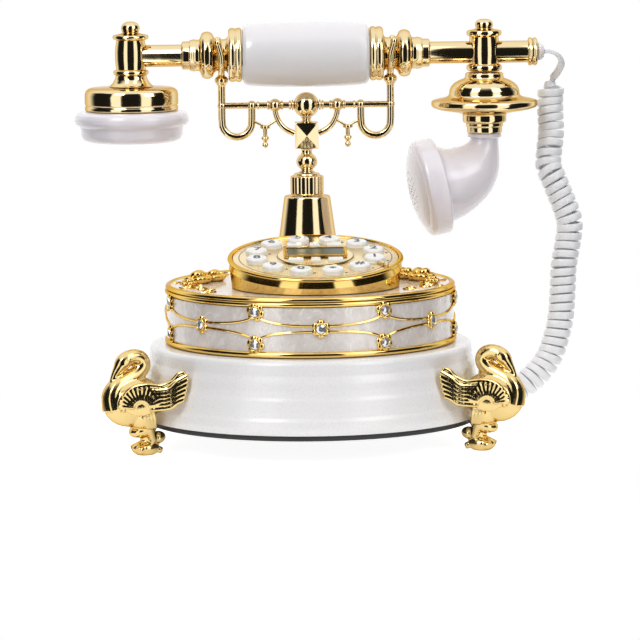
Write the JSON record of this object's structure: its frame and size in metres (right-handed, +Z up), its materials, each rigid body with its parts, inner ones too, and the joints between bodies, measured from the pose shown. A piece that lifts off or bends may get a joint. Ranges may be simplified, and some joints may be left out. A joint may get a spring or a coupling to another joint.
{
  "type": "rotary telephone",
  "caption": "Ornate white and gold table telephone: round plinth on swan feet, dial-shaped keypad, spring cradle, horn handset and curly cord.",
  "frame": {"origin": "on the surface it stands on, under the middle of the telephone with its handset on, cord not counted", "axes": "+Z up; +X along the handset towards its horn mouthpiece, which is the viewer's right; -Y is the front, where the dial faces"},
  "size_m": [0.2836, 0.219, 0.2294],
  "materials": {
    "gold": "polished gold plate",
    "satin_gold": "brushed satin gold plate",
    "ivory": "glossy moulded white",
    "pearl": "pearl enamel with gold relief",
    "black": "matt",
    "glass": "dark display window",
    "board": "circuit board, hidden",
    "steel": "plain, hidden",
    "key_white": "translucent white",
    "cord": "satin light grey sheath"
  },
  "bodies": {
    "base": {"base_plate": "black", "plinth_shell": "ivory", "line_jack": "black", "main_board": "board", "ringer_speaker": "steel", "swan_foot_left": "gold", "swan_foot_right": "gold", "swan_foot_rear": "gold", "drum_casting": "gold", "enamel_band": "pearl", "drum_top_plate": "pearl", "dial_housing": "gold", "dial_plate": "satin_gold", "display_bezel": "gold", "display_glass": "glass", "keypad_board": "board", "pillar_cone": "gold", "pillar_collar": "gold", "hook_switch": "black", "hook_spring": "steel", "cord_coil": "cord", "handset_plug": "key_white", "cord_tail": "cord"},
    "cradle": {"cradle_stem": "gold", "cradle_block": "gold", "cradle_fork": "gold"},
    "handset": {"grip": "ivory", "grip_collar_left": "gold", "grip_collar_right": "gold", "ear_tube": "gold", "mouth_tube": "gold", "cord_gland": "cord", "ear_barrel": "gold", "ear_cup": "gold", "ear_cap": "ivory", "receiver_capsule": "steel", "mouth_barrel": "gold", "mouth_flange": "gold", "horn": "ivory", "horn_cap": "ivory", "microphone_capsule": "steel", "cord_lead": "cord"},
    "key_1": {"key_1": "key_white"},
    "key_2": {"key_2": "key_white"},
    "key_3": {"key_3": "key_white"},
    "key_4": {"key_4": "key_white"},
    "key_5": {"key_5": "key_white"},
    "key_6": {"key_6": "key_white"},
    "key_7": {"key_7": "key_white"},
    "key_8": {"key_8": "key_white"},
    "key_9": {"key_9": "key_white"},
    "key_0": {"key_0": "key_white"},
    "key_star": {"key_star": "key_white"},
    "key_hash": {"key_hash": "key_white"},
    "menu_rear_left": {"menu_rear_left": "key_white"},
    "menu_rear_middle": {"menu_rear_middle": "key_white"},
    "menu_rear_right": {"menu_rear_right": "key_white"},
    "menu_front_left": {"menu_front_left": "key_white"},
    "menu_front_middle": {"menu_front_middle": "key_white"},
    "menu_front_right": {"menu_front_right": "key_white"}
  },
  "joints": [
    {"name": "handset_lift", "type": "slide", "parent": "base", "child": "handset", "axis": [0, 0, 1], "range_m": [0, 0.06]},
    {"name": "cradle_rise", "type": "slide", "parent": "base", "child": "cradle", "axis": [0, 0, 1], "range_m": [0, 0.004], "deforming": ["hook_spring"]},
    {"name": "key_1_press", "type": "slide", "parent": "base", "child": "key_1", "axis": [0, 0.1564, -0.9877], "range_m": [0, 0.0015], "stiffness_N_per_m": 300, "springref_m": -0.001},
    {"name": "key_2_press", "type": "slide", "parent": "base", "child": "key_2", "axis": [0, 0.1564, -0.9877], "range_m": [0, 0.0015], "stiffness_N_per_m": 300, "springref_m": -0.001},
    {"name": "key_3_press", "type": "slide", "parent": "base", "child": "key_3", "axis": [0, 0.1564, -0.9877], "range_m": [0, 0.0015], "stiffness_N_per_m": 300, "springref_m": -0.001},
    {"name": "key_4_press", "type": "slide", "parent": "base", "child": "key_4", "axis": [0, 0.1564, -0.9877], "range_m": [0, 0.0015], "stiffness_N_per_m": 300, "springref_m": -0.001},
    {"name": "key_5_press", "type": "slide", "parent": "base", "child": "key_5", "axis": [0, 0.1564, -0.9877], "range_m": [0, 0.0015], "stiffness_N_per_m": 300, "springref_m": -0.001},
    {"name": "key_6_press", "type": "slide", "parent": "base", "child": "key_6", "axis": [0, 0.1564, -0.9877], "range_m": [0, 0.0015], "stiffness_N_per_m": 300, "springref_m": -0.001},
    {"name": "key_7_press", "type": "slide", "parent": "base", "child": "key_7", "axis": [0, 0.1564, -0.9877], "range_m": [0, 0.0015], "stiffness_N_per_m": 300, "springref_m": -0.001},
    {"name": "key_8_press", "type": "slide", "parent": "base", "child": "key_8", "axis": [0, 0.1564, -0.9877], "range_m": [0, 0.0015], "stiffness_N_per_m": 300, "springref_m": -0.001},
    {"name": "key_9_press", "type": "slide", "parent": "base", "child": "key_9", "axis": [0, 0.1564, -0.9877], "range_m": [0, 0.0015], "stiffness_N_per_m": 300, "springref_m": -0.001},
    {"name": "key_0_press", "type": "slide", "parent": "base", "child": "key_0", "axis": [0, 0.1564, -0.9877], "range_m": [0, 0.0015], "stiffness_N_per_m": 300, "springref_m": -0.001},
    {"name": "key_star_press", "type": "slide", "parent": "base", "child": "key_star", "axis": [0, 0.1564, -0.9877], "range_m": [0, 0.0015], "stiffness_N_per_m": 300, "springref_m": -0.001},
    {"name": "key_hash_press", "type": "slide", "parent": "base", "child": "key_hash", "axis": [0, 0.1564, -0.9877], "range_m": [0, 0.0015], "stiffness_N_per_m": 300, "springref_m": -0.001},
    {"name": "menu_rear_left_press", "type": "slide", "parent": "base", "child": "menu_rear_left", "axis": [0, 0.1564, -0.9877], "range_m": [0, 0.0015], "stiffness_N_per_m": 300, "springref_m": -0.001},
    {"name": "menu_rear_middle_press", "type": "slide", "parent": "base", "child": "menu_rear_middle", "axis": [0, 0.1564, -0.9877], "range_m": [0, 0.0015], "stiffness_N_per_m": 300, "springref_m": -0.001},
    {"name": "menu_rear_right_press", "type": "slide", "parent": "base", "child": "menu_rear_right", "axis": [0, 0.1564, -0.9877], "range_m": [0, 0.0015], "stiffness_N_per_m": 300, "springref_m": -0.001},
    {"name": "menu_front_left_press", "type": "slide", "parent": "base", "child": "menu_front_left", "axis": [0, 0.1564, -0.9877], "range_m": [0, 0.0015], "stiffness_N_per_m": 300, "springref_m": -0.001},
    {"name": "menu_front_middle_press", "type": "slide", "parent": "base", "child": "menu_front_middle", "axis": [0, 0.1564, -0.9877], "range_m": [0, 0.0015], "stiffness_N_per_m": 300, "springref_m": -0.001},
    {"name": "menu_front_right_press", "type": "slide", "parent": "base", "child": "menu_front_right", "axis": [0, 0.1564, -0.9877], "range_m": [0, 0.0015], "stiffness_N_per_m": 300, "springref_m": -0.001}
  ],
  "couplings": [
    {"joint": "cradle_rise", "follows": "handset_lift", "ratio": 0.0665}
  ]
}
